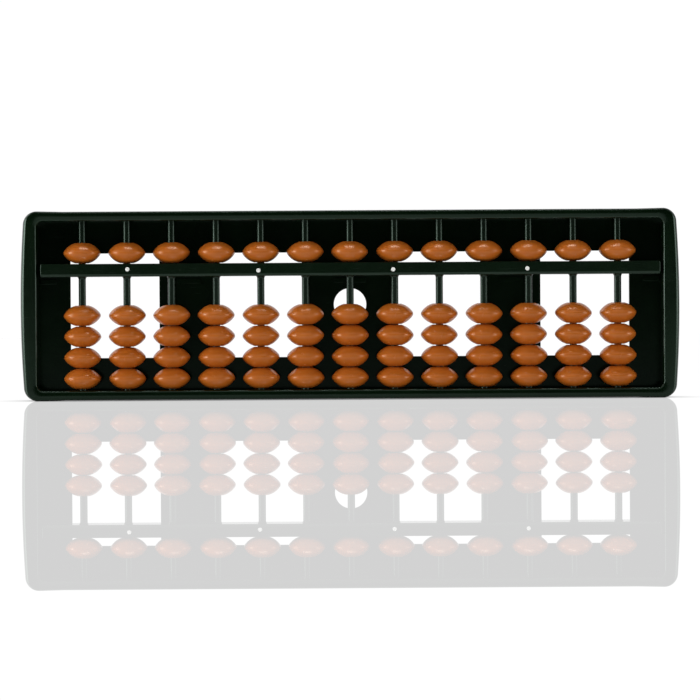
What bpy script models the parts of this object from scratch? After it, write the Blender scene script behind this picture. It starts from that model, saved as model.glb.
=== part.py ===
"""Thirteen-rod abacus with one heaven bead and four earth beads on each rod.

The abacus stands on its long lower rail.  X runs along the rails, Z up along the rods,
and the open face with the beads looks towards -Y.  The origin is the centre of the
footprint.  Lengths below are in millimetres and are scaled to metres when meshes are made.
"""
import math

import bmesh
import bpy

MM = 0.001
GAP = 0.3

SHARP_ANGLE = 32.0
CUT_OVERRUN = 0.5
HOLE_OVERRUN = 2.0

# Frame: a hollow rim with slightly bowed short ends, a little shallower than the beads.
FRAME_WIDTH = 270.0
FRAME_HEIGHT = 77.8
FRAME_FRONT_Y = -7.5
FRAME_BACK_Y = 9.5
END_BOW = 1.1
CORNER_RADIUS = 5.7
RAIL_THICKNESS = 4.5
END_THICKNESS = 7.0
INNER_CORNER_RADIUS = 2.2
FRONT_ROUND = 1.2
FRONT_ROUND_MID = 0.35
BACK_CHAMFER = 0.8
INNER_CHAMFER = 0.8
CORNER_POINTS = 5
BOW_STATIONS = (-0.5, 0.0, 0.5)

# Back panel, set in a rebate in the back of the rim.
REBATE_WIDTH = 2.0
REBATE_FACE_Y = 7.2
PANEL_FRONT_Y = 7.5
PANEL_BACK_Y = 9.2
WINDOW_WIDTH = 36.7
WINDOW_HEIGHT = 43.2
WINDOW_CENTRES_X = (-97.1, -36.6, 36.6, 97.1)
PEEP_HOLE_RADIUS = 6.7
PEEP_HOLE_SIDES = 24

# Ledges moulded on the panel just below the beam: centre in X and width.
LEDGES = ((-124.5, 6.4), (-66.5, 9.6), (0.0, 12.8), (66.5, 9.6), (124.5, 6.4))
LEDGE_LOW_Z = 48.0
LEDGE_HIGH_Z = 49.9
LEDGE_HEIGHT = 1.2
LEDGE_ROOT = 0.8

# Rods and beam, one moulding.
ROD_COUNT = 13
ROD_PITCH = 18.32
ROD_Y = -1.9
ROD_RADIUS = 1.5
ROD_SIDES = 12
ROD_SOCKET_DEPTH = 2.2
SLOT_ARC_STEPS = 6
BEAM_HALF_LENGTH = 127.0
BEAM_LOW_Z = 50.8
BEAM_HIGH_Z = 56.1
BEAM_FRONT_Y = -7.2
BEAM_BACK_Y = 7.2
BEAM_CHAMFER = 0.6

# White position marks: pegs let into the front of the beam. Each shift is the offset
# of one peg, along X and Z, from its rod's line and the middle of the beam.
MARKED_RODS = (2, 5, 8, 11)
MARK_SHIFTS = ((0.53, 0.39), (-0.85, -0.37), (-0.64, -0.27), (-0.70, -0.19))
PEG_RADIUS = 0.95
PEG_SIDES = 12
PEG_DEPTH = 2.5
PEG_PROUD = 0.15

# Beads: flattened double cones with a bore for the rod.
BEAD_RADIUS = 7.6
BEAD_HEIGHT = 8.35
BEAD_POLE_RADIUS = 2.6
BEAD_FLANK_RADIUS = 5.85
BEAD_FLANK_HEIGHT = 2.5
BEAD_BORE_RADIUS = 1.82
BEAD_SIDES = 12

EARTH_BEADS = 4
EARTH_NAMES = ("top", "second")
FRAME_PLASTIC = (0.004, 0.010, 0.005, 1.0)
BEAD_PLASTIC = (0.42, 0.105, 0.022, 1.0)
MARK_PLASTIC = (0.86, 0.86, 0.82, 1.0)
FRAME_ROUGHNESS = 0.22
BEAD_ROUGHNESS = 0.25
MARK_ROUGHNESS = 0.35


def plastic(name, colour, roughness):
    """Glossy or satin moulded plastic."""
    material = bpy.data.materials.new(name)
    material.use_nodes = True
    shader = material.node_tree.nodes["Principled BSDF"]
    shader.inputs["Base Color"].default_value = colour
    shader.inputs["Roughness"].default_value = roughness
    shader.inputs["Metallic"].default_value = 0.0
    material.diffuse_color = colour
    return material


def finish_mesh(name, mesh_bm, origin):
    """Turn the bmesh, in millimetres about origin, into a mesh in metres."""
    bmesh.ops.recalc_face_normals(mesh_bm, faces=mesh_bm.faces)
    bmesh.ops.scale(mesh_bm, vec=(MM, MM, MM), verts=mesh_bm.verts)
    mesh = bpy.data.meshes.new(name)
    mesh_bm.to_mesh(mesh)
    mesh_bm.free()
    mesh.set_sharp_from_angle(angle=math.radians(SHARP_ANGLE))
    for polygon in mesh.polygons:
        polygon.use_smooth = True
    return place(name, mesh, origin)


def place(name, mesh, origin):
    """Put a mesh in the scene with its own origin in world millimetres."""
    obj = bpy.data.objects.new(name, mesh)
    obj.location = tuple(value * MM for value in origin)
    bpy.context.scene.collection.objects.link(obj)
    return obj


def loft(rings, closed):
    """Skin equal-length rings of points; closed joins the last ring to the first."""
    mesh_bm = bmesh.new()
    layers = [[mesh_bm.verts.new(point) for point in ring] for ring in rings]
    count = len(layers[0])
    pairs = list(zip(layers, layers[1:]))
    if closed:
        pairs.append((layers[-1], layers[0]))
    else:
        mesh_bm.faces.new(layers[0])
        mesh_bm.faces.new(list(reversed(layers[-1])))
    for low, high in pairs:
        for index in range(count):
            after = (index + 1) % count
            mesh_bm.faces.new((low[index], low[after], high[after], high[index]))
    return mesh_bm


def circle(radius, sides):
    """Corner points of a regular polygon, with a corner on the first axis."""
    step = 2.0 * math.pi / sides
    return [(radius * math.cos(step * i), radius * math.sin(step * i)) for i in range(sides)]


def outline(half_width, half_height, radius, bow):
    """Rounded rectangle in X and Z about the frame's centre, with bowed short ends."""
    straight = half_height - radius
    points = []
    corners = ((1, 1, 0.0), (-1, 1, 90.0), (-1, -1, 180.0), (1, -1, 270.0))
    for side_x, side_z, start in corners:
        centre_x = side_x * (half_width - bow - radius)
        centre_z = side_z * straight
        for step in range(CORNER_POINTS):
            angle = math.radians(start + 90.0 * step / (CORNER_POINTS - 1))
            points.append((centre_x + radius * math.cos(angle),
                           centre_z + radius * math.sin(angle)))
        if start == 90.0:
            stations = [(-1, -station) for station in BOW_STATIONS]
        elif start == 270.0:
            stations = [(1, station) for station in BOW_STATIONS]
        else:
            stations = []
        for side, station in stations:
            points.append((side * (half_width - bow * station * station), straight * station))
    return points


def ring_at(points, y):
    """Lift an outline to a depth, moving its centre to the middle of the frame's height."""
    return [(x, y, z + FRAME_HEIGHT / 2.0) for x, z in points]


def add_box(mesh_bm, low, high):
    """Add a closed box to a bmesh."""
    corners = [(x, y, z) for x in (low[0], high[0]) for y in (low[1], high[1])
               for z in (low[2], high[2])]
    verts = [mesh_bm.verts.new(corner) for corner in corners]
    for face in ((0, 1, 3, 2), (4, 6, 7, 5), (0, 4, 5, 1), (2, 3, 7, 6), (0, 2, 6, 4),
                 (1, 5, 7, 3)):
        mesh_bm.faces.new([verts[i] for i in face])


def add_prism(mesh_bm, profile, place_point, start, end):
    """Add a closed prism: profile points are mapped to space at start and at end."""
    low = [mesh_bm.verts.new(place_point(a, b, start)) for a, b in profile]
    high = [mesh_bm.verts.new(place_point(a, b, end)) for a, b in profile]
    mesh_bm.faces.new(low)
    mesh_bm.faces.new(list(reversed(high)))
    count = len(profile)
    for index in range(count):
        after = (index + 1) % count
        mesh_bm.faces.new((low[index], high[index], high[after], low[after]))


def combine(target, tool_bm, operation):
    """Apply an exact Boolean of target with the tool mesh and drop the tool."""
    tool = finish_mesh("tool", tool_bm, (0.0, 0.0, 0.0))
    modifier = target.modifiers.new("shape", "BOOLEAN")
    modifier.operation = operation
    modifier.solver = "EXACT"
    modifier.object = tool
    bpy.context.view_layer.update()
    graph = bpy.context.evaluated_depsgraph_get()
    result = bpy.data.meshes.new_from_object(target.evaluated_get(graph))
    target.modifiers.clear()
    target.data = result
    bpy.data.objects.remove(tool)


def rod_x(number):
    """X of a rod, counted from 1 at the left."""
    return (number - 1 - (ROD_COUNT - 1) / 2.0) * ROD_PITCH


def build_frame(material):
    """The rim: two rails, two bowed ends, a rebate for the panel and slots for the rods."""
    front, back = FRAME_FRONT_Y, FRAME_BACK_Y
    half_x, half_z = FRAME_WIDTH / 2.0, FRAME_HEIGHT / 2.0

    def outer(inset):
        return outline(half_x - inset, half_z - inset, CORNER_RADIUS - inset, END_BOW)

    def inner(grow):
        return outline(half_x - END_THICKNESS + grow, half_z - RAIL_THICKNESS + grow,
                       INNER_CORNER_RADIUS + grow, 0.0)

    rings = [ring_at(outer(FRONT_ROUND), front),
             ring_at(outer(FRONT_ROUND_MID), front + FRONT_ROUND_MID),
             ring_at(outer(0.0), front + FRONT_ROUND),
             ring_at(outer(0.0), back - BACK_CHAMFER),
             ring_at(outer(BACK_CHAMFER), back),
             ring_at(inner(REBATE_WIDTH), back),
             ring_at(inner(REBATE_WIDTH), REBATE_FACE_Y),
             ring_at(inner(0.0), REBATE_FACE_Y),
             ring_at(inner(0.0), front + INNER_CHAMFER),
             ring_at(inner(INNER_CHAMFER), front)]
    frame = finish_mesh("frame", loft(rings, True), (0.0, 0.0, 0.0))

    slots = bmesh.new()
    radius = ROD_RADIUS + GAP
    turn = math.pi / SLOT_ARC_STEPS
    arc = [(-radius * math.cos(turn * i), ROD_Y - radius * math.sin(turn * i))
           for i in range(SLOT_ARC_STEPS + 1)]
    back_y = REBATE_FACE_Y + CUT_OVERRUN
    profile = arc + [(radius, back_y), (-radius, back_y)]
    reach = RAIL_THICKNESS - ROD_SOCKET_DEPTH - GAP
    mouth = RAIL_THICKNESS + CUT_OVERRUN
    spans = ((reach, mouth), (FRAME_HEIGHT - mouth, FRAME_HEIGHT - reach))
    for number in range(1, ROD_COUNT + 1):
        for low, high in spans:
            add_prism(slots, profile,
                      lambda a, b, z, x=rod_x(number): (x + a, b, z), low, high)
    combine(frame, slots, "DIFFERENCE")
    frame.data.materials.append(material)
    return frame


def build_panel(material):
    """The back panel with its four windows, round hole and ledges."""
    half_x = FRAME_WIDTH / 2.0 - END_THICKNESS + REBATE_WIDTH - GAP
    half_z = FRAME_HEIGHT / 2.0 - RAIL_THICKNESS + REBATE_WIDTH - GAP
    edge = outline(half_x, half_z, INNER_CORNER_RADIUS + REBATE_WIDTH - GAP, 0.0)
    panel = finish_mesh("back_panel", loft([ring_at(edge, PANEL_FRONT_Y),
                                            ring_at(edge, PANEL_BACK_Y)], False),
                        (0.0, 0.0, 0.0))
    mid_z = FRAME_HEIGHT / 2.0
    ledges = bmesh.new()
    for centre, width in LEDGES:
        add_box(ledges, (centre - width / 2.0, PANEL_FRONT_Y - LEDGE_HEIGHT, LEDGE_LOW_Z),
                (centre + width / 2.0, PANEL_FRONT_Y + LEDGE_ROOT, LEDGE_HIGH_Z))
    combine(panel, ledges, "UNION")
    holes = bmesh.new()
    near, far = PANEL_FRONT_Y - HOLE_OVERRUN, PANEL_BACK_Y + HOLE_OVERRUN
    for centre in WINDOW_CENTRES_X:
        add_box(holes, (centre - WINDOW_WIDTH / 2.0, near, mid_z - WINDOW_HEIGHT / 2.0),
                (centre + WINDOW_WIDTH / 2.0, far, mid_z + WINDOW_HEIGHT / 2.0))
    add_prism(holes, circle(PEEP_HOLE_RADIUS, PEEP_HOLE_SIDES),
              lambda a, b, y: (a, y, mid_z + b), near, far)
    combine(panel, holes, "DIFFERENCE")
    panel.data.materials.append(material)
    return panel


def mark_centres():
    """X and Z of the middle of each white mark."""
    mid_z = (BEAM_LOW_Z + BEAM_HIGH_Z) / 2.0
    return [(rod_x(number) + shift_x, mid_z + shift_z)
            for number, (shift_x, shift_z) in zip(MARKED_RODS, MARK_SHIFTS)]


def build_beam_with_rods(material):
    """The cross beam and its rods, with shallow holes for the position pegs."""
    cut = BEAM_CHAMFER
    profile = [(BEAM_FRONT_Y + cut, BEAM_LOW_Z), (BEAM_BACK_Y, BEAM_LOW_Z),
               (BEAM_BACK_Y, BEAM_HIGH_Z), (BEAM_FRONT_Y + cut, BEAM_HIGH_Z),
               (BEAM_FRONT_Y, BEAM_HIGH_Z - cut), (BEAM_FRONT_Y, BEAM_LOW_Z + cut)]
    body = bmesh.new()
    add_prism(body, profile, lambda a, b, x: (x, a, b), -BEAM_HALF_LENGTH, BEAM_HALF_LENGTH)
    comb = finish_mesh("beam_with_rods", body, (0.0, 0.0, 0.0))
    rods = bmesh.new()
    section = circle(ROD_RADIUS, ROD_SIDES)
    low = RAIL_THICKNESS - ROD_SOCKET_DEPTH
    for number in range(1, ROD_COUNT + 1):
        add_prism(rods, section, lambda a, b, z, x=rod_x(number): (x + a, ROD_Y + b, z),
                  low, FRAME_HEIGHT - low)
    combine(comb, rods, "UNION")
    pockets = bmesh.new()
    for mark_x, mark_z in mark_centres():
        add_prism(pockets, circle(PEG_RADIUS + GAP, PEG_SIDES),
                  lambda a, b, y, x=mark_x, z=mark_z: (x + a, y, z + b),
                  BEAM_FRONT_Y - CUT_OVERRUN, BEAM_FRONT_Y + PEG_DEPTH + GAP)
    combine(comb, pockets, "DIFFERENCE")
    comb.data.materials.append(material)
    return comb


def build_pegs(material):
    """White pegs that mark every third rod."""
    for order, (mark_x, mark_z) in enumerate(mark_centres(), start=1):
        body = bmesh.new()
        add_prism(body, circle(PEG_RADIUS, PEG_SIDES), lambda a, b, y: (a, y, b),
                  -PEG_PROUD, PEG_DEPTH)
        peg = finish_mesh("position_dot_%d" % order, body,
                          (mark_x, BEAM_FRONT_Y, mark_z))
        peg.data.materials.append(material)


def bead_side(base_z, lowest, highest):
    """Radius and height pairs up the outside of one bead whose middle is at base_z."""
    half = BEAD_HEIGHT / 2.0
    side = [(BEAD_POLE_RADIUS, base_z - half), (BEAD_FLANK_RADIUS, base_z - BEAD_FLANK_HEIGHT),
            (BEAD_RADIUS, base_z), (BEAD_FLANK_RADIUS, base_z + BEAD_FLANK_HEIGHT),
            (BEAD_POLE_RADIUS, base_z + half)]
    if lowest:
        side.insert(0, (BEAD_BORE_RADIUS, base_z - half))
    if highest:
        side.append((BEAD_BORE_RADIUS, base_z + half))
    return side


def bead_mesh(name, count, material):
    """One bead, or several on one sleeve, turned about Z with the lowest middle at 0."""
    profile = []
    for index in range(count):
        profile += bead_side(index * (BEAD_HEIGHT + GAP), index == 0, index == count - 1)
    section = circle(1.0, BEAD_SIDES)
    rings = [[(radius * a, radius * b, z) for a, b in section] for radius, z in profile]
    obj = finish_mesh(name, loft(rings, True), (0.0, 0.0, 0.0))
    obj.data.materials.append(material)
    mesh = obj.data
    bpy.data.objects.remove(obj)
    return mesh


def build_beads(material):
    """Heaven beads at rest on the beam, earth beads at rest on the lower rail."""
    single = bead_mesh("bead", 1, material)
    pair = bead_mesh("bead_pair", 2, material)
    step = BEAD_HEIGHT + GAP
    lowest = RAIL_THICKNESS + GAP + BEAD_HEIGHT / 2.0
    heaven = BEAM_HIGH_Z + GAP + BEAD_HEIGHT / 2.0
    for number in range(1, ROD_COUNT + 1):
        x = rod_x(number)
        place("heaven_bead_%02d" % number, single, (x, ROD_Y, heaven))
        for order, word in enumerate(EARTH_NAMES):
            place("earth_bead_%02d_%s" % (number, word), single,
                  (x, ROD_Y, lowest + (EARTH_BEADS - 1 - order) * step))
        place("earth_beads_%02d_lower_pair" % number, pair, (x, ROD_Y, lowest))


def build():
    for obj in list(bpy.data.objects):
        bpy.data.objects.remove(obj)
    frame_plastic = plastic("frame_plastic", FRAME_PLASTIC, FRAME_ROUGHNESS)
    bead_plastic = plastic("bead_plastic", BEAD_PLASTIC, BEAD_ROUGHNESS)
    mark_plastic = plastic("mark_plastic", MARK_PLASTIC, MARK_ROUGHNESS)
    build_frame(frame_plastic)
    build_panel(frame_plastic)
    build_beam_with_rods(frame_plastic)
    build_pegs(mark_plastic)
    build_beads(bead_plastic)


build()
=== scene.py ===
import math
import random

import bmesh
import bpy
from mathutils import Euler, Matrix, Vector


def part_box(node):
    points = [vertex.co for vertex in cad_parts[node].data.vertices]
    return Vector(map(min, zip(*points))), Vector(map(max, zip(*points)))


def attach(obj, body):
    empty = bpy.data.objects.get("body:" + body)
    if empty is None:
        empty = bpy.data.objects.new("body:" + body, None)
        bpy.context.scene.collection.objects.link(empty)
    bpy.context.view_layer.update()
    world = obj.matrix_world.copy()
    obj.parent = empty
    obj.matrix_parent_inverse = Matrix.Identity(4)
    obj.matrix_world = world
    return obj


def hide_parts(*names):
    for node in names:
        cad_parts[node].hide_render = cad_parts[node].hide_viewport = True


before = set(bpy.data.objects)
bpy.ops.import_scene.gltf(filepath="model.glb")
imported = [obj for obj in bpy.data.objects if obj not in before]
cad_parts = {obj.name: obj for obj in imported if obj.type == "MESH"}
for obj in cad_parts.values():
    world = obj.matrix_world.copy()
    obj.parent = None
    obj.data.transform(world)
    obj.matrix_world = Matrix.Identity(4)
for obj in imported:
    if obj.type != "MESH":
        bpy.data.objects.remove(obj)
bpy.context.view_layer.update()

MM = 0.001
ROOT = "frame_assembly"
ROD_COUNT = 13
RODS = range(1, ROD_COUNT + 1)
MARKS = range(1, 5)
RANDOM_SEED = 13


def middle(node):
    """Centre of a CAD node's box."""
    low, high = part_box(node)
    return (low + high) / 2.0


FRAME_LOW, FRAME_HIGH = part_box("frame")
PANEL_LOW, PANEL_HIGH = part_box("back_panel")
COMB_LOW, COMB_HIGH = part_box("beam_with_rods")
BEAD_LOW, BEAD_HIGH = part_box("heaven_bead_01")
STACK_LOW, STACK_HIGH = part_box("earth_beads_01_lower_pair")
MID_Z = (FRAME_LOW.z + FRAME_HIGH.z) / 2.0
BEAD_RADIUS = (BEAD_HIGH.x - BEAD_LOW.x) / 2.0
BEAD_HEIGHT = BEAD_HIGH.z - BEAD_LOW.z
BEAD_GAP = (STACK_HIGH.z - STACK_LOW.z) - 2.0 * BEAD_HEIGHT
ROD_Y = middle("heaven_bead_01").y
GAP = 0.3 * MM

# Rim of the frame.
REBATE_WIDTH = 2.0 * MM
END_BOW = 1.1 * MM
CORNER_RADIUS = 5.7 * MM
RAIL_THICKNESS = STACK_LOW.z - FRAME_LOW.z - GAP
END_THICKNESS = FRAME_HIGH.x - PANEL_HIGH.x + REBATE_WIDTH - GAP
INNER_CORNER_RADIUS = 2.4 * MM
OUTER_ROUND = 2.4 * MM
RAIL_EDGE = 0.28
INNER_ROUND = 1.0 * MM
BACK_ROUND = 0.8 * MM
WALL_DRAFT = 0.3 * MM
FACE_CROWN = 0.12 * MM
FACE_STEPS = 8
RAIL_SINK = 0.25 * MM
CORNER_BLEND = 9.0 * MM
REBATE_CHAMFER = 0.3 * MM
TIGHTEST_INSET = 1.2 * MM
WALL_RINGS = (0.66, 0.33)

# Rods and beam.
ROD_RADIUS = 1.5 * MM
BEAM_LOW_Z = 50.8 * MM
BEAM_HIGH_Z = BEAD_LOW.z - GAP
DOT_PROUD = 0.15 * MM
BEAM_FRONT_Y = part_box("position_dot_1")[0].y + DOT_PROUD
BEAM_BACK_Y = COMB_HIGH.y
BEAM_ENDS = (-126.65 * MM, 127.0 * MM)
BEAM_ROUND = 0.25 * MM
BEAM_LIP = 1.05 * MM
BEAM_LIP_SET_BACK = 0.35 * MM
FLARE_RADIUS = 0.45 * MM
FLARE_HEIGHT = 1.0 * MM
TOP_FLARE_RADIUS = 0.5 * FLARE_RADIUS
TOP_FLARE_HEIGHT = 0.2 * MM
ROD_TIP_RADIUS = 0.8 * ROD_RADIUS
ROD_TIP_HEIGHT = 0.3 * MM
ROD_SIDES = 48
DOT_RADIUS = 0.86 * MM
DOT_CROWN = 0.12 * MM
DOT_DEPTH = 0.8 * MM
DOT_TIP = 0.02
DOT_SIDES = 40

# Windows, round hole and ledges of the back panel.
WINDOW_WIDTH = 36.7 * MM
WINDOW_HEIGHT = 43.2 * MM
WINDOW_CENTRES = (-97.1 * MM, -36.6 * MM, 36.6 * MM, 97.1 * MM)
PEEP_HOLE_RADIUS = 6.7 * MM
LEDGES = ((-124.5, 6.4), (-66.5, 9.6), (0.0, 12.8), (66.5, 9.6), (124.5, 6.4))
LEDGE_LOW_Z = 48.0 * MM
LEDGE_HIGH_Z = 49.9 * MM
LEDGE_HEIGHT = 1.2 * MM
PANEL_ROUND = 0.12 * MM
LEDGE_OVERLAP = 0.5 * MM
HOLE_SIDES = 72
FLAT_FACE_AREA = 4.0 * MM * MM

# Beads.
BORE_RADIUS = 1.82 * MM
FLANK_REACH = 1.065
FLANK_POWER = 1.2
FLANK_ROOT = 0.41
EQUATOR_ROUND = 0.24
BEAD_TILT = 1.2
BEAD_SHIFT = 0.12 * MM
BORE_CHAMFER = 0.25 * MM
POLE_ROUND = 0.12 * MM
FLANK_TOP = 0.985
FLANK_STEPS = 30
FLANK_SPACING = 1.2
BEAD_SIDES = 96

# Studio: a white floor and papers, two side lights and a narrow light overhead.
FLOOR_BACK = 2.3
FLOOR_FRONT = -1.25
FLOOR_SIDE = 1.8
PAPER_HEIGHT = 2.3
PAPER_GLOW = 1.02
WALL_FRONT = -0.8
WALL_MIDDLE = (FLOOR_BACK + WALL_FRONT) / 2.0
WALL_LENGTH = FLOOR_BACK - WALL_FRONT
HIGH_PAPER_PLACE = (0.0, -1.0, 1.15)
HIGH_PAPER_SIZE = (2.4, 1.0)
HIGH_PAPER_LEAN = 45.0
FLOOR_GLOW = 0.645
FLOOR_GLOSS = 0.36
# Reach of the painted contact shadow on the floor.
CONTACT_SHADE = 15.0 * MM
WALL_GLOW = {"left": 2.1, "right": 0.7}
HIGH_GLOW = 1.0
TOP_LIGHT_PLACE = (0.0, -0.025, 1.1)
TOP_LIGHT_SIZE = (0.55, 0.11)
ROOM_GLOW = 0.01
SIDE_LIGHT_TURN = 74.0
SIDE_LIGHT_AWAY = 1.2
SIDE_LIGHT_WIDTH = 0.5
SIDE_LIGHT_HEIGHT = 0.6
SIDE_LIGHT_Z = 0.12
SIDE_LIGHT_BRIGHTNESS = {"left": 8.5, "right": 4.5}
TOP_LIGHT_BRIGHTNESS = 15.0

# Camera, from the object outwards.
CAMERA_DISTANCE = 1.4
CAMERA_X = -0.0075
CAMERA_Z = 0.0417
CAMERA_YAW = -0.300
CAMERA_PITCH = -0.882
CAMERA_ROLL = 0.348
SCALE_AT_UNIT = 2431.3
FRAME_PIXELS = 700.0
SENSOR_MM = 36.0


# ---------------------------------------------------------------- meshes

def new_object(name, mesh, body=ROOT, replaces=(), material=None):
    """Put a mesh in the scene, riding on a body and standing for CAD nodes."""
    obj = bpy.data.objects.new(name, mesh)
    bpy.context.scene.collection.objects.link(obj)
    if material is not None:
        mesh.materials.clear()
        mesh.materials.append(material)
    if body is not None:
        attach(obj, body)
    if replaces:
        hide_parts(*replaces)
    return obj


def to_mesh(name, bm, sharp_degrees=35.0):
    """Finish a bmesh as a smooth-shaded mesh with sharp edges kept."""
    bmesh.ops.recalc_face_normals(bm, faces=bm.faces)
    mesh = bpy.data.meshes.new(name)
    bm.to_mesh(mesh)
    bm.free()
    for polygon in mesh.polygons:
        polygon.use_smooth = True
    mesh.set_sharp_from_angle(angle=math.radians(sharp_degrees))
    return mesh


def loft(rings, closed=True):
    """Skin equal-length rings of points."""
    bm = bmesh.new()
    layers = [[bm.verts.new(point) for point in ring] for ring in rings]
    count = len(layers[0])
    pairs = list(zip(layers, layers[1:]))
    if closed:
        pairs.append((layers[-1], layers[0]))
    else:
        bm.faces.new(layers[0])
        bm.faces.new(list(reversed(layers[-1])))
    for low, high in pairs:
        for index in range(count):
            after = (index + 1) % count
            bm.faces.new((low[index], low[after], high[after], high[index]))
    return bm


def arc(centre_a, centre_b, radius, start, end, steps):
    """Points of an arc in a plane, angles in degrees."""
    points = []
    for step in range(steps + 1):
        angle = math.radians(start + (end - start) * step / steps)
        points.append((centre_a + radius * math.cos(angle), centre_b + radius * math.sin(angle)))
    return points


def box_into(bm, low, high):
    """Add a closed box to a bmesh."""
    verts = [bm.verts.new((x, y, z)) for x in (low[0], high[0]) for y in (low[1], high[1])
             for z in (low[2], high[2])]
    for face in ((0, 1, 3, 2), (4, 6, 7, 5), (0, 4, 5, 1), (2, 3, 7, 6), (0, 2, 6, 4),
                 (1, 5, 7, 3)):
        bm.faces.new([verts[i] for i in face])


def outline(half_x, half_z, radius, bow, corner_steps=14, bow_steps=16, rail_steps=24):
    """Rounded rectangle in X and Z about the frame's centre, with bowed short ends."""
    flat_z = half_z - radius
    flat_x = half_x - bow - radius
    points = []
    for side_x, side_z, start in ((1, 1, 0.0), (-1, 1, 90.0), (-1, -1, 180.0), (1, -1, 270.0)):
        points += arc(side_x * flat_x, side_z * flat_z, radius, start, start + 90.0, corner_steps)
        upright = start in (90.0, 270.0)
        for step in range(1, bow_steps if upright else rail_steps):
            part = 1.0 - 2.0 * step / (bow_steps if upright else rail_steps)
            if upright:
                z = side_z * flat_z * part
                points.append((side_x * (half_x - bow * (z / flat_z) ** 2), z))
            else:
                points.append((side_x * flat_x * part, side_z * half_z))
    return points


def sunk(x, z, corner_x):
    """Height of a point of the outline with the long rails a little below the corners."""
    part = min(1.0, max(0.0, (corner_x - abs(x)) / CORNER_BLEND))
    return z - math.copysign(RAIL_SINK * part * part * (3.0 - 2.0 * part), z)


def rim_mesh():
    """The rim as one closed loop of a rounded section swept round the outline."""
    front, back = FRAME_LOW.y, FRAME_HIGH.y
    half_x = (FRAME_HIGH.x - FRAME_LOW.x) / 2.0
    half_z = (FRAME_HIGH.z - FRAME_LOW.z) / 2.0
    step_y = PANEL_LOW.y + LEDGE_HEIGHT - GAP

    def outer(inset):
        points = outline(half_x - inset, half_z - RAIL_EDGE * inset, CORNER_RADIUS - inset, END_BOW)
        return [(x, sunk(x, z, half_x - CORNER_RADIUS)) for x, z in points]

    def inner(grow):
        return outline(half_x - END_THICKNESS + grow, half_z - RAIL_THICKNESS + grow,
                       INNER_CORNER_RADIUS + max(grow, -TIGHTEST_INSET), 0.0)

    face = front + FACE_CROWN
    stations = []
    for a, b in arc(BACK_ROUND, BACK_ROUND, BACK_ROUND, 180.0, 90.0, 6):
        stations.append((back + b - 2.0 * BACK_ROUND, outer(a)))
    stations.append((back, inner(REBATE_WIDTH + REBATE_CHAMFER)))
    stations.append((back - REBATE_CHAMFER, inner(REBATE_WIDTH)))
    stations.append((step_y, inner(REBATE_WIDTH)))
    stations.append((step_y, inner(0.0)))
    edge_y = face + INNER_ROUND
    for part in WALL_RINGS:
        stations.append((edge_y + part * (step_y - edge_y), inner(WALL_DRAFT * (1.0 - part))))
    for a, b in arc(INNER_ROUND, INNER_ROUND, INNER_ROUND, 180.0, 270.0, 8):
        stations.append((face + b, inner(WALL_DRAFT + a)))
    inside, outside = stations[-1][1], outer(OUTER_ROUND)
    for step in range(1, FACE_STEPS):
        part = step / FACE_STEPS
        ring = [(p + (q - p) * part, r + (t - r) * part)
                for (p, r), (q, t) in zip(inside, outside)]
        stations.append((face - FACE_CROWN * 4.0 * part * (1.0 - part), ring))
    for a, b in arc(OUTER_ROUND, OUTER_ROUND, OUTER_ROUND, 270.0, 180.0, 9):
        stations.append((face + b, outer(a)))
    rings = [[(x, y, z + MID_Z) for x, z in points] for y, points in stations]
    return to_mesh("rim", loft(rings), 50.0)


def bevel(obj, width, segments=3, angle=30.0):
    """Round the edges of a piece."""
    modifier = obj.modifiers.new("rounding", "BEVEL")
    modifier.width = width
    modifier.segments = segments
    modifier.limit_method = "ANGLE"
    modifier.angle_limit = math.radians(angle)
    modifier.harden_normals = False
    return modifier


def carve(obj, tool_mesh, operation):
    """Apply an exact Boolean with a throw-away tool."""
    tool = bpy.data.objects.new("tool", tool_mesh)
    bpy.context.scene.collection.objects.link(tool)
    modifier = obj.modifiers.new("shape", "BOOLEAN")
    modifier.operation = operation
    modifier.solver = "EXACT"
    modifier.object = tool
    bake(obj)
    bpy.data.objects.remove(tool)


def bake(obj):
    """Replace a piece's mesh with what its modifiers make of it."""
    bpy.context.view_layer.update()
    graph = bpy.context.evaluated_depsgraph_get()
    result = bpy.data.meshes.new_from_object(obj.evaluated_get(graph))
    obj.modifiers.clear()
    obj.data = result


def shade(mesh, angle):
    """Smooth shading across rounded edges, with the large faces kept flat."""
    mesh.set_sharp_from_angle(angle=math.radians(angle))
    for polygon in mesh.polygons:
        polygon.use_smooth = polygon.area < FLAT_FACE_AREA


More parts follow.
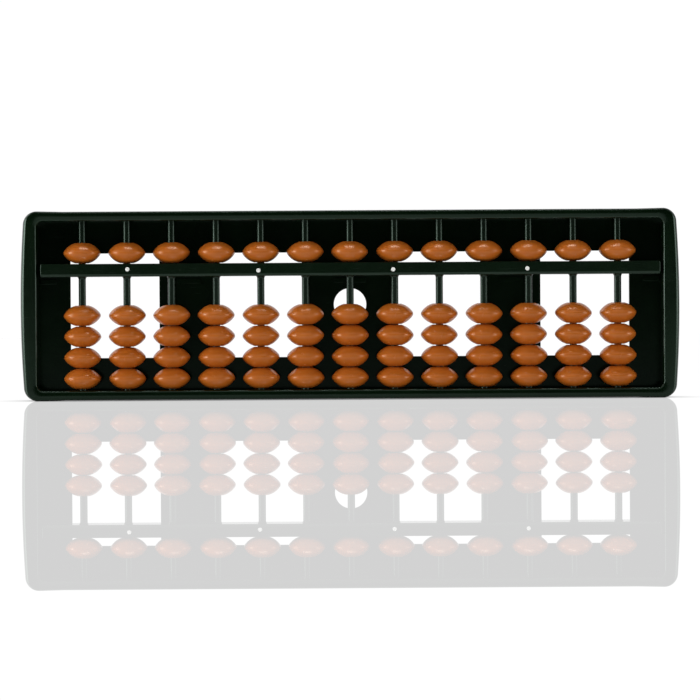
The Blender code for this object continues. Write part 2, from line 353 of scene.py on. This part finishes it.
def panel_object(material):
    """Back panel with windows, round hole and ledges, its edges slightly rounded."""
    inner_x = (PANEL_HIGH.x - PANEL_LOW.x) / 2.0
    inner_z = (PANEL_HIGH.z - PANEL_LOW.z) / 2.0
    face_y = PANEL_LOW.y + LEDGE_HEIGHT
    edge = outline(inner_x, inner_z, INNER_CORNER_RADIUS + REBATE_WIDTH, 0.0, 6, 2, 2)
    rings = [[(x, y, z + MID_Z) for x, z in edge] for y in (face_y, PANEL_HIGH.y)]
    panel = new_object("panel", to_mesh("panel", loft(rings, False)), replaces=["back_panel"],
                       material=material)
    bm = bmesh.new()
    for centre, width in LEDGES:
        box_into(bm, (centre * MM - width * MM / 2.0, PANEL_LOW.y, LEDGE_LOW_Z),
                 (centre * MM + width * MM / 2.0, face_y + LEDGE_OVERLAP, LEDGE_HIGH_Z))
    carve(panel, to_mesh("ledges", bm), "UNION")
    bm = bmesh.new()
    for centre in WINDOW_CENTRES:
        box_into(bm, (centre - WINDOW_WIDTH / 2.0, PANEL_LOW.y - MM, MID_Z - WINDOW_HEIGHT / 2.0),
                 (centre + WINDOW_WIDTH / 2.0, PANEL_HIGH.y + MM, MID_Z + WINDOW_HEIGHT / 2.0))
    ring = arc(0.0, MID_Z, PEEP_HOLE_RADIUS, 0.0, 360.0, HOLE_SIDES)[:-1]
    low = [bm.verts.new((x, PANEL_LOW.y - MM, z)) for x, z in ring]
    high = [bm.verts.new((x, PANEL_HIGH.y + MM, z)) for x, z in ring]
    bm.faces.new(low)
    bm.faces.new(list(reversed(high)))
    for index in range(len(ring)):
        after = (index + 1) % len(ring)
        bm.faces.new((low[index], high[index], high[after], low[after]))
    carve(panel, to_mesh("openings", bm), "DIFFERENCE")
    bevel(panel, PANEL_ROUND, 2, 40.0)
    bake(panel)
    shade(panel.data, 35.0)
    return panel


def beam_object(material):
    """Cross beam: a flat front with a sloped lip below, rounded edges and ends."""
    profile = [(BEAM_FRONT_Y, BEAM_HIGH_Z), (BEAM_FRONT_Y, BEAM_LOW_Z + BEAM_LIP),
               (BEAM_FRONT_Y + BEAM_LIP_SET_BACK, BEAM_LOW_Z), (BEAM_BACK_Y, BEAM_LOW_Z),
               (BEAM_BACK_Y, BEAM_HIGH_Z)]
    rings = [[(x, y, z) for y, z in profile] for x in BEAM_ENDS]
    beam = new_object("beam", to_mesh("beam", loft(rings, False)), replaces=["beam_with_rods"],
                      material=material)
    bevel(beam, BEAM_ROUND, 4)
    bake(beam)
    shade(beam.data, 15.0)
    return beam


def rod_mesh():
    """One rod through the beam, turned about Z, with a flare above and below the beam."""
    low, high = COMB_LOW.z, COMB_HIGH.z
    profile = [(ROD_TIP_RADIUS, low), (ROD_RADIUS, low + ROD_TIP_HEIGHT)]
    steps = 8
    for step in range(steps + 1):
        part = step / steps
        profile.append((ROD_RADIUS + FLARE_RADIUS * part * part,
                        BEAM_LOW_Z - FLARE_HEIGHT * (1.0 - part)))
    for step in range(steps + 1):
        part = 1.0 - step / steps
        profile.append((ROD_RADIUS + TOP_FLARE_RADIUS * part * part,
                        BEAM_HIGH_Z + TOP_FLARE_HEIGHT * (1.0 - part)))
    profile += [(ROD_RADIUS, high - ROD_TIP_HEIGHT), (ROD_TIP_RADIUS, high)]
    return to_mesh("rod", turned(profile, ROD_SIDES, False))


def turned(profile, sides, closed):
    """Turn a profile of radius and height about Z."""
    rings = []
    for radius, z in profile:
        rings.append([(radius * math.cos(math.tau * i / sides),
                       radius * math.sin(math.tau * i / sides), z) for i in range(sides)])
    return loft(rings, closed)


def swell(height):
    """Width of a bead's flank at a height from its middle; half the bead's height is 1."""
    return (1.0 - (height / FLANK_REACH) ** FLANK_POWER) ** FLANK_ROOT


def flank(height):
    """Radius of a bead at a height: the flank, with the sharp middle rounded off."""
    step = 0.001
    edge = swell(EQUATOR_ROUND)
    slope = (swell(EQUATOR_ROUND + step) - edge) / step
    crest = edge - slope * EQUATOR_ROUND / 2.0
    if height < EQUATOR_ROUND:
        width = crest + slope * height * height / (2.0 * EQUATOR_ROUND)
    else:
        width = swell(height)
    return BEAD_RADIUS * width / crest


def bead_profile():
    """Half section of a bead from the bore round the outside and back, about its middle."""
    half = BEAD_HEIGHT / 2.0
    side = []
    for step in range(FLANK_STEPS + 1):
        part = FLANK_TOP * (step / FLANK_STEPS) ** FLANK_SPACING
        side.append((flank(part), half * part))
    side.append((side[-1][0] - POLE_ROUND, half))
    top = list(reversed(side))
    bottom = [(radius, -height) for radius, height in side[1:]]
    mouth = BORE_RADIUS + BORE_CHAMFER
    return ([(BORE_RADIUS, half - BORE_CHAMFER), (mouth, half)] + top + bottom
            + [(mouth, -half), (BORE_RADIUS, -half + BORE_CHAMFER)])


def dot_mesh():
    """Round white mark with a slightly crowned face towards -Y."""
    profile = [(DOT_RADIUS * DOT_TIP, 0.0)]
    steps = 8
    for step in range(1, steps + 1):
        angle = math.radians(90.0 * step / steps)
        profile.append((DOT_RADIUS * math.sin(angle), DOT_CROWN * (1.0 - math.cos(angle))))
    profile.append((DOT_RADIUS, DOT_DEPTH))
    bm = turned(profile, DOT_SIDES, False)
    bmesh.ops.rotate(bm, cent=(0, 0, 0), matrix=Matrix.Rotation(math.radians(-90.0), 3, "X"),
                     verts=bm.verts)
    return to_mesh("dot", bm, 60.0)


# ------------------------------------------------------------- materials

class Nodes:
    """Small helper for building a node tree."""

    def __init__(self, name):
        self.material = bpy.data.materials.new(name)
        self.material.use_nodes = True
        self.tree = self.material.node_tree
        self.shader = self.tree.nodes["Principled BSDF"]

    def add(self, kind, **settings):
        node = self.tree.nodes.new(kind)
        for key, value in settings.items():
            setattr(node, key, value)
        return node

    def link(self, source, target):
        self.tree.links.new(source, target)

    def coordinates(self):
        return self.add("ShaderNodeTexCoord").outputs["Object"]

    def noise(self, where, scale, detail=3.0, roughness=0.5):
        node = self.add("ShaderNodeTexNoise")
        node.inputs["Scale"].default_value = scale
        node.inputs["Detail"].default_value = detail
        node.inputs["Roughness"].default_value = roughness
        self.link(where, node.inputs["Vector"])
        return node.outputs["Fac"]

    def ramp(self, value, stops):
        node = self.add("ShaderNodeValToRGB")
        elements = node.color_ramp.elements
        while len(elements) < len(stops):
            elements.new(0.5)
        for element, (position, colour) in zip(elements, stops):
            element.position = position
            element.color = colour
        self.link(value, node.inputs["Fac"])
        return node.outputs["Color"]

    def scaled(self, value, low, high):
        node = self.add("ShaderNodeMapRange")
        node.inputs["To Min"].default_value = low
        node.inputs["To Max"].default_value = high
        self.link(value, node.inputs["Value"])
        return node.outputs["Result"]

    def mix(self, factor, first, second):
        node = self.add("ShaderNodeMix", data_type="RGBA")
        self.link(factor, node.inputs["Factor"])
        for socket, value in ((node.inputs[6], first), (node.inputs[7], second)):
            if isinstance(value, tuple):
                socket.default_value = value
            else:
                self.link(value, socket)
        return node.outputs[2]

    def bump(self, height, strength, distance, after=None):
        node = self.add("ShaderNodeBump")
        node.inputs["Strength"].default_value = strength
        node.inputs["Distance"].default_value = distance
        self.link(height, node.inputs["Height"])
        if after is not None:
            self.link(after, node.inputs["Normal"])
        return node.outputs["Normal"]


def grey(value):
    return (value, value, value, 1.0)


def deep(level):
    """Dark green of the frame at a level of lightness."""
    return (0.0009 * level, 0.0040 * level, 0.0011 * level, 1.0)


def frame_plastic(name, roughest, shade, gloss=0.34, grain=1.0):
    """Very dark green moulded plastic: soft ripple, fine scratches and a little dust, its lightness
    scaled by shade as painted light and shade.
    """
    n = Nodes(name)
    where = n.coordinates()
    cloud = n.noise(where, 60.0, 4.0)
    # Painted light and shade: the shade argument sets the lightness of this copy of the plastic.
    base = n.ramp(cloud, [(0.3, deep(0.8 * shade)), (0.7, deep(1.3 * shade))])
    stretch = n.add("ShaderNodeMapping")
    stretch.inputs["Scale"].default_value = (40.0, 400.0, 900.0)
    stretch.inputs["Rotation"].default_value = (0.2, 0.35, 0.1)
    n.link(where, stretch.inputs["Vector"])
    scratch = n.ramp(n.noise(stretch.outputs["Vector"], 3.0, 2.0), [(0.68, grey(0.0)), (0.72, grey(1.0))])
    speck = n.ramp(n.noise(where, 900.0, 2.0), [(0.775, grey(0.0)), (0.80, grey(1.0))])
    dusty = n.mix(speck, base, (0.030, 0.036, 0.030, 1.0))
    n.link(dusty, n.shader.inputs["Base Color"])
    rough = n.scaled(n.noise(where, 220.0, 5.0, 0.6), 0.5 * roughest, roughest)
    rougher = n.mix(scratch, rough, grey(roughest + 0.08))
    n.link(rougher, n.shader.inputs["Roughness"])
    ripple = n.bump(n.noise(where, 150.0, 2.0), 0.03 * grain, 0.0006)
    fine = n.bump(n.noise(where, 2600.0, 2.0), 0.02 * grain, 0.00006, ripple)
    n.link(fine, n.shader.inputs["Normal"])
    n.shader.inputs["IOR"].default_value = 1.5
    n.shader.inputs["Specular IOR Level"].default_value = gloss
    n.shader.inputs["Specular Tint"].default_value = (0.72, 1.0, 0.82, 1.0)
    return n.material


def bead_plastic():
    """Warm brown-orange plastic: faint flow marks, mottled gloss and handling wear."""
    n = Nodes("bead_plastic_orange")
    where = n.coordinates()
    chance = n.add("ShaderNodeObjectInfo").outputs["Random"]
    flow = n.noise(where, 130.0, 4.0, 0.55)
    base = n.ramp(flow, [(0.25, (0.41, 0.102, 0.009, 1.0)), (0.75, (0.475, 0.122, 0.013, 1.0))])
    pale = n.mix(n.scaled(chance, 0.0, 0.35), base, (0.50, 0.134, 0.017, 1.0))
    n.link(pale, n.shader.inputs["Base Color"])
    rough = n.scaled(n.noise(where, 480.0, 4.0, 0.6), 0.22, 0.30)
    n.link(rough, n.shader.inputs["Roughness"])
    ripple = n.bump(n.noise(where, 220.0, 2.0), 0.006, 0.0004)
    fine = n.bump(n.noise(where, 3200.0, 2.0), 0.012, 0.00005, ripple)
    n.link(fine, n.shader.inputs["Normal"])
    n.shader.inputs["Subsurface Weight"].default_value = 0.08
    n.shader.inputs["Subsurface Radius"].default_value = (0.0016, 0.0006, 0.0003)
    n.shader.inputs["Subsurface Scale"].default_value = 1.0
    n.shader.inputs["IOR"].default_value = 1.5
    n.shader.inputs["Specular Tint"].default_value = (1.0, 0.78, 0.58, 1.0)
    return n.material


def mark_plastic():
    """Off-white mark, slightly uneven."""
    n = Nodes("mark_white")
    where = n.coordinates()
    base = n.ramp(n.noise(where, 1500.0, 3.0),
                  [(0.3, (0.90, 0.92, 0.88, 1.0)), (0.7, (0.97, 0.98, 0.95, 1.0))])
    n.link(base, n.shader.inputs["Base Color"])
    n.link(n.scaled(n.noise(where, 2400.0), 0.35, 0.55), n.shader.inputs["Roughness"])
    n.link(n.bump(n.noise(where, 2000.0), 0.1, 0.00005), n.shader.inputs["Normal"])
    return n.material


# ------------------------------------------------------------------ stage

def floor_material():
    """White gloss board: a constant, even glow with a mirror-like coat, darkened near the object as a
    painted contact shadow.
    """
    material = bpy.data.materials.new("board")
    material.use_nodes = True
    tree = material.node_tree
    tree.nodes.remove(tree.nodes["Principled BSDF"])
    light = tree.nodes.new("ShaderNodeEmission")
    light.inputs["Strength"].default_value = FLOOR_GLOW
    # Painted contact shadow: ambient occlusion darkens the floor's glow where the object stands close.
    shade = tree.nodes.new("ShaderNodeAmbientOcclusion")
    shade.inputs["Distance"].default_value = CONTACT_SHADE
    tree.links.new(shade.outputs["Color"], light.inputs["Color"])
    gloss = tree.nodes.new("ShaderNodeBsdfGlossy")
    gloss.inputs["Color"].default_value = grey(FLOOR_GLOSS)
    gloss.inputs["Roughness"].default_value = 0.0
    both = tree.nodes.new("ShaderNodeAddShader")
    tree.links.new(light.outputs[0], both.inputs[0])
    tree.links.new(gloss.outputs[0], both.inputs[1])
    tree.links.new(both.outputs[0], tree.nodes["Material Output"].inputs["Surface"])
    return material


def sheet_at(name, centre, size_x, size_y, rotation, material):
    """A flat sheet of the stage, not part of the object."""
    bm = bmesh.new()
    bmesh.ops.create_grid(bm, x_segments=1, y_segments=1, size=0.5)
    mesh = bpy.data.meshes.new(name)
    bm.to_mesh(mesh)
    bm.free()
    obj = bpy.data.objects.new(name, mesh)
    obj.location = centre
    obj.rotation_euler = Euler([math.radians(v) for v in rotation])
    obj.scale = (size_x, size_y, 1.0)
    bpy.context.scene.collection.objects.link(obj)
    mesh.materials.append(material)
    return obj


def glow(name, strength):
    """Evenly lit white paper."""
    material = bpy.data.materials.new(name)
    material.use_nodes = True
    tree = material.node_tree
    tree.nodes.remove(tree.nodes["Principled BSDF"])
    light = tree.nodes.new("ShaderNodeEmission")
    light.inputs["Strength"].default_value = strength
    tree.links.new(light.outputs[0], tree.nodes["Material Output"].inputs["Surface"])
    return material


def softbox(name, place, width, height, radiance):
    """Area light of a given brightness aimed at the middle of the object."""
    data = bpy.data.lights.new(name, "AREA")
    data.shape = "RECTANGLE"
    data.size = width
    data.size_y = height
    data.energy = radiance * math.pi * width * height
    obj = bpy.data.objects.new(name, data)
    obj.location = place
    aim = Vector((0.0, 0.0, MID_Z)) - Vector(place)
    obj.rotation_euler = aim.to_track_quat("-Z", "Y").to_euler()
    obj.visible_camera = False
    bpy.context.scene.collection.objects.link(obj)
    return obj


def build_stage():
    """Floor, papers and lights round the object."""
    sheet_at("floor", (0.0, (FLOOR_BACK + FLOOR_FRONT) / 2.0, FRAME_LOW.z), 2.0 * FLOOR_SIDE,
             FLOOR_BACK - FLOOR_FRONT, (0.0, 0.0, 0.0), floor_material())
    sheet_at("backdrop", (0.0, FLOOR_BACK, PAPER_HEIGHT / 2.0), 2.0 * FLOOR_SIDE, PAPER_HEIGHT,
             (90.0, 0.0, 0.0), glow("paper_white", PAPER_GLOW))
    sheet_at("high_paper", HIGH_PAPER_PLACE, *HIGH_PAPER_SIZE, (HIGH_PAPER_LEAN, 0.0, 0.0),
             glow("high_paper", HIGH_GLOW))
    turn = math.radians(SIDE_LIGHT_TURN)
    for sign, name in ((-1.0, "left"), (1.0, "right")):
        sheet_at("wall_" + name, (sign * FLOOR_SIDE, WALL_MIDDLE, PAPER_HEIGHT / 2.0),
                 PAPER_HEIGHT, WALL_LENGTH, (0.0, 90.0, 0.0),
                 glow("wall_" + name, WALL_GLOW[name]))
        softbox("softbox_" + name, (sign * SIDE_LIGHT_AWAY * math.sin(turn),
                                    -SIDE_LIGHT_AWAY * math.cos(turn), SIDE_LIGHT_Z),
                SIDE_LIGHT_WIDTH, SIDE_LIGHT_HEIGHT, SIDE_LIGHT_BRIGHTNESS[name])
    softbox("softbox_top", TOP_LIGHT_PLACE, *TOP_LIGHT_SIZE, TOP_LIGHT_BRIGHTNESS)
    world = bpy.data.worlds.new("studio")
    world.use_nodes = True
    world.node_tree.nodes["Background"].inputs["Color"].default_value = (1.0, 1.0, 1.0, 1.0)
    world.node_tree.nodes["Background"].inputs["Strength"].default_value = ROOM_GLOW
    bpy.context.scene.world = world


def build_camera():
    """Camera at the viewing angle of the object, a little above its middle."""
    data = bpy.data.cameras.new("camera")
    data.sensor_width = SENSOR_MM
    data.lens = SCALE_AT_UNIT * CAMERA_DISTANCE * SENSOR_MM / FRAME_PIXELS
    data.clip_start = 0.05
    data.clip_end = 20.0
    camera = bpy.data.objects.new("camera", data)
    camera.location = (CAMERA_X, -CAMERA_DISTANCE, CAMERA_Z)
    yaw = Matrix.Rotation(math.radians(CAMERA_YAW), 4, "Z")
    pitch = Matrix.Rotation(math.radians(90.0 + CAMERA_PITCH), 4, "X")
    roll = Matrix.Rotation(math.radians(-CAMERA_ROLL), 4, "Z")
    camera.rotation_euler = (yaw @ pitch @ roll).to_euler()
    bpy.context.scene.collection.objects.link(camera)
    bpy.context.scene.camera = camera


# ----------------------------------------------------------------- object

def build_beads(material):
    """All beads, each on its own, sharing one turned mesh and turned to differ."""
    mesh = to_mesh("bead", turned(bead_profile(), BEAD_SIDES, True), 25.0)
    mesh.materials.append(material)
    dice = random.Random(RANDOM_SEED)

    def bead(name, body, place, nodes):
        obj = new_object(name, mesh, body, nodes)
        obj.location = place + Vector((dice.uniform(-BEAD_SHIFT, BEAD_SHIFT), 0.0, 0.0))
        lean = Euler([math.radians(dice.uniform(-BEAD_TILT, BEAD_TILT)) for axis in "xy"] + [0.0])
        spin = Matrix.Rotation(dice.uniform(0.0, math.tau), 3, "Z")
        obj.rotation_euler = (lean.to_matrix() @ spin).to_euler()

    for number in RODS:
        tag = "%02d" % number
        bead("heaven_%s" % tag, "heaven_" + tag, middle("heaven_bead_" + tag),
             ["heaven_bead_" + tag])
        bead("earth_top_%s" % tag, "earth_top_" + tag, middle("earth_bead_%s_top" % tag),
             ["earth_bead_%s_top" % tag])
        stack = "earth_stack_" + tag
        bead("earth_second_%s" % tag, stack, middle("earth_bead_%s_second" % tag),
             ["earth_bead_%s_second" % tag])
        pair = "earth_beads_%s_lower_pair" % tag
        centre = middle(pair)
        step = Vector((0.0, 0.0, (BEAD_HEIGHT + BEAD_GAP) / 2.0))
        bead("earth_third_%s" % tag, stack, centre + step, [pair])
        bead("earth_fourth_%s" % tag, stack, centre - step, [pair])


def build_object():
    """Every piece of the abacus, with its plastics."""
    # Painted light and shade: lighter and darker copies of one plastic, shade 1.4 for the rim, 1.6 for
    # the tray, 1.0 for the rods.
    dark = frame_plastic("dark_plastic", 0.24, 1.4)
    deep_tray = frame_plastic("dark_plastic_tray", 0.20, 1.6, 0.12)
    satin = frame_plastic("dark_plastic_rods", 0.36, 1.0, 0.30, 0.25)
    new_object("rim", rim_mesh(), replaces=["frame"], material=dark)
    panel_object(deep_tray)
    beam_object(dark)
    rod = rod_mesh()
    for number in RODS:
        obj = new_object("rod_%02d" % number, rod, replaces=["beam_with_rods"],
                         material=satin)
        obj.location = (middle("heaven_bead_%02d" % number).x, ROD_Y, 0.0)
    white = mark_plastic()
    dot = dot_mesh()
    for number in MARKS:
        node = "position_dot_%d" % number
        low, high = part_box(node)
        obj = new_object("dot_%d" % number, dot, replaces=[node],
                         material=white)
        obj.location = ((low.x + high.x) / 2.0, low.y, (low.z + high.z) / 2.0)
    build_beads(bead_plastic())


build_object()
build_stage()
build_camera()
bpy.context.scene.view_settings.view_transform = "Standard"
